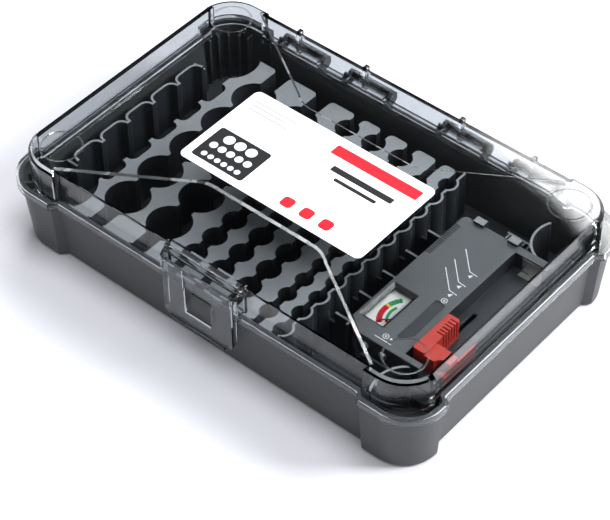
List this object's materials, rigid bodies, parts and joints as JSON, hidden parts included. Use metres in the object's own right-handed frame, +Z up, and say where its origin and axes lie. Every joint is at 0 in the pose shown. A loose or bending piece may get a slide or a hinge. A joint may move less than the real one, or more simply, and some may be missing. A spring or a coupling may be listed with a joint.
{
  "type": "battery storage case",
  "caption": "Shallow rectangular case with a hinged clear lid, a pivoting front latch, a rack of cell pockets and a removable cell tester with a sliding clamp.",
  "frame": {"origin": "centre of the underside", "axes": "+X along the case towards the tester, +Y towards the hinges, +Z up"},
  "size_m": [0.308, 0.2032, 0.0663],
  "materials": {
    "base_plastic": "fine grained moulded plastic, dark grey",
    "rack_plastic": "moulded plastic, dark grey",
    "clear_lid": "clear smoke-grey plastic",
    "clear_latch": "clear smoke-grey plastic",
    "label_print": "coated card, white with red fields",
    "tester_plastic": "moulded plastic, dark grey with white print",
    "slider_plastic": "red moulded plastic",
    "contact_spring": "nickel-plated spring steel",
    "contact_studs": "nickel-plated brass",
    "meter_plastic": "black moulded plastic",
    "scale_print": "printed card with red, yellow and green fields",
    "clear_pane": "clear plastic",
    "magnet": "magnet alloy",
    "yoke_iron": "zinc-plated soft iron",
    "coil_wire": "enamelled copper wire",
    "staff_steel": "bright steel",
    "needle_paint": "black painted aluminium",
    "bridge_brass": "brass strip",
    "hairspring_bronze": "bronze",
    "board": "laminate board",
    "resistor_paint": "lacquered",
    "screw_steel": "zinc-plated steel"
  },
  "bodies": {
    "case": {"base_shell": "base_plastic", "latch_catch": "base_plastic", "battery_rack": "rack_plastic", "rack_island_1": "rack_plastic", "rack_island_2": "rack_plastic", "rack_island_3": "rack_plastic", "rack_island_4": "rack_plastic", "rack_island_5": "rack_plastic", "rack_island_6": "rack_plastic", "rack_island_7": "rack_plastic", "rack_block_wall": "rack_plastic", "rack_wavy_wall": "rack_plastic", "rack_collars": "rack_plastic", "rack_tester_bay": "rack_plastic", "tester_cover": "tester_plastic", "tester_base": "tester_plastic", "fixed_contact": "contact_spring", "block_cell_contacts": "contact_studs", "meter_case": "meter_plastic", "meter_scale": "scale_print", "meter_window": "clear_pane", "meter_magnet": "magnet", "meter_yoke": "yoke_iron", "meter_bridges": "bridge_brass", "meter_hairspring": "hairspring_bronze", "circuit_board": "board", "load_resistors": "resistor_paint", "tester_screws": "screw_steel"},
    "lid": {"lid": "clear_lid", "label_card": "label_print"},
    "latch": {"latch": "clear_latch"},
    "slider": {"tester_slider": "slider_plastic", "slider_keeper": "tester_plastic", "slider_contact": "contact_spring"},
    "needle": {"meter_needle": "needle_paint", "meter_staff": "staff_steel", "meter_coil": "coil_wire"}
  },
  "joints": [
    {"name": "lid_hinge", "type": "hinge", "parent": "case", "child": "lid", "pos_m": [0, 0.0995, 0.0456], "axis": [-1, 0, 0], "range_deg": [0, 180]},
    {"name": "latch_pivot", "type": "hinge", "parent": "lid", "child": "latch", "pos_m": [0, -0.0924, 0.062], "axis": [-1, 0, 0], "range_deg": [0, 110]},
    {"name": "slider_slide", "type": "slide", "parent": "case", "child": "slider", "axis": [0, 1, 0], "range_m": [-0.004, 0.039]},
    {"name": "needle_swing", "type": "hinge", "parent": "case", "child": "needle", "pos_m": [0.093, -0.029, 0.0323], "axis": [0, 0, -1], "range_deg": [0, 76], "stiffness_Nm_per_rad": 0.00002}
  ]
}
